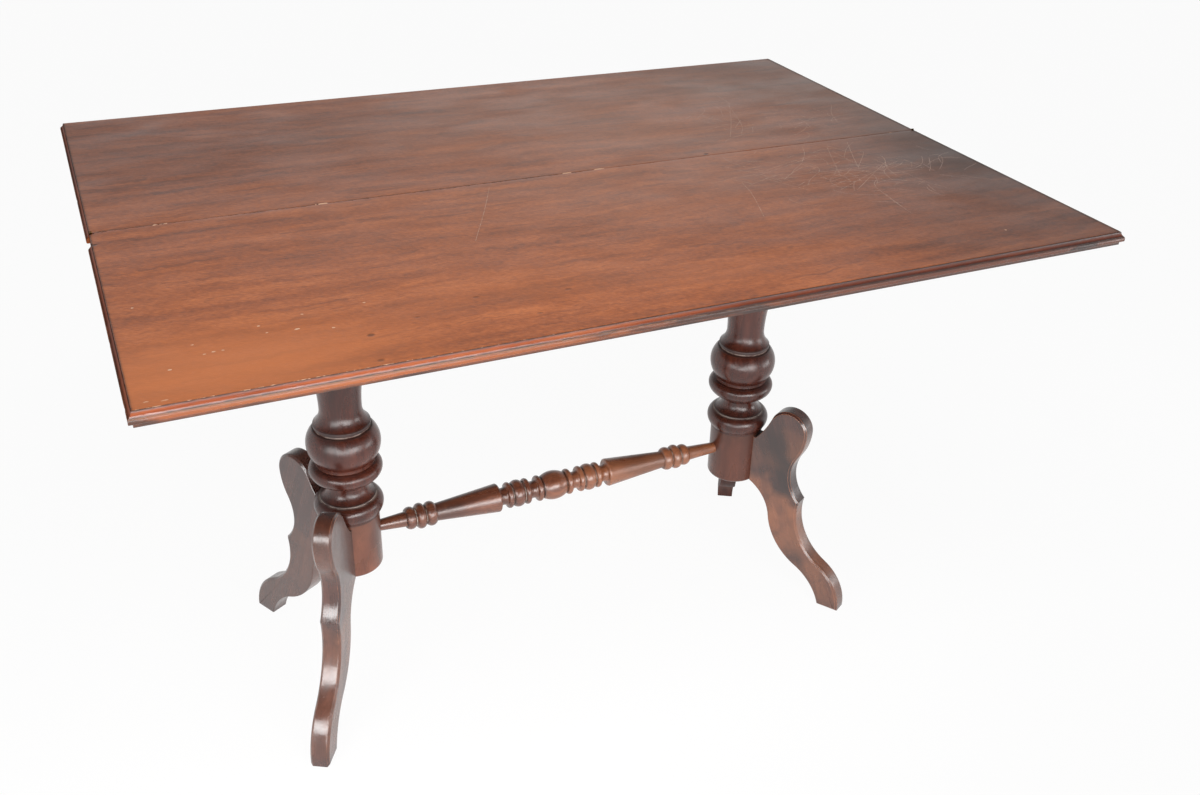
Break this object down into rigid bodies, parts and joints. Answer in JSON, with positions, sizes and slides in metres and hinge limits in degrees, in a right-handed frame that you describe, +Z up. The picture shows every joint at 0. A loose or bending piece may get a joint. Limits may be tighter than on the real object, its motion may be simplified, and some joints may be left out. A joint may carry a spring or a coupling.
{
  "type": "fold-over dining table",
  "caption": "Fold-over dining table: hinged leaves with a moulded edge slide on bearers over turned columns with scrolled legs and a turned stretcher.",
  "frame": {"origin": "on the floor, under the middle of the open top", "axes": "+X along the seam and the stretcher, +Y from the front leaf to the rear leaf, +Z up"},
  "size_m": [1.214, 0.888, 0.7619],
  "materials": {
    "top_wood": "worn french polish, ribbon figure",
    "moulding_wood": "worn polish",
    "column_wood": "dark polish",
    "leg_wood": "dark polish, worn at the edges",
    "stretcher_wood": "dark polish",
    "frame_wood": "bare planed wood",
    "hinge_brass": "aged",
    "steel": "dull"
  },
  "bodies": {
    "base": {"column_left": "column_wood", "column_right": "column_wood", "leg_left_front": "leg_wood", "leg_left_rear": "leg_wood", "leg_right_front": "leg_wood", "leg_right_rear": "leg_wood", "stretcher": "stretcher_wood", "bearer_left": "frame_wood", "bearer_right": "frame_wood", "rail_front": "frame_wood", "rail_rear": "frame_wood", "tenon_wedges": "frame_wood"},
    "top_slide": {"rear_leaf": "top_wood", "rear_moulding_long": "moulding_wood", "rear_moulding_left": "moulding_wood", "rear_moulding_right": "moulding_wood", "runner_left": "frame_wood", "runner_right": "frame_wood", "runner_screws": "steel", "fixed_hinge_plate_left": "hinge_brass", "fixed_hinge_plate_right": "hinge_brass", "fixed_plate_screws": "hinge_brass", "hinge_pin_left": "steel", "hinge_pin_right": "steel"},
    "front_leaf": {"front_leaf": "top_wood", "front_moulding_long": "moulding_wood", "front_moulding_left": "moulding_wood", "front_moulding_right": "moulding_wood", "moving_hinge_plate_left": "hinge_brass", "moving_hinge_plate_right": "hinge_brass", "moving_plate_screws": "hinge_brass"}
  },
  "joints": [
    {"name": "top_slide", "type": "slide", "parent": "base", "child": "top_slide", "axis": [0, -1, 0], "range_m": [0, 0.2195]},
    {"name": "leaf_fold", "type": "hinge", "parent": "top_slide", "child": "front_leaf", "pos_m": [0, 0, 0.7602], "axis": [-1, 0, 0], "range_deg": [0, 180]}
  ]
}
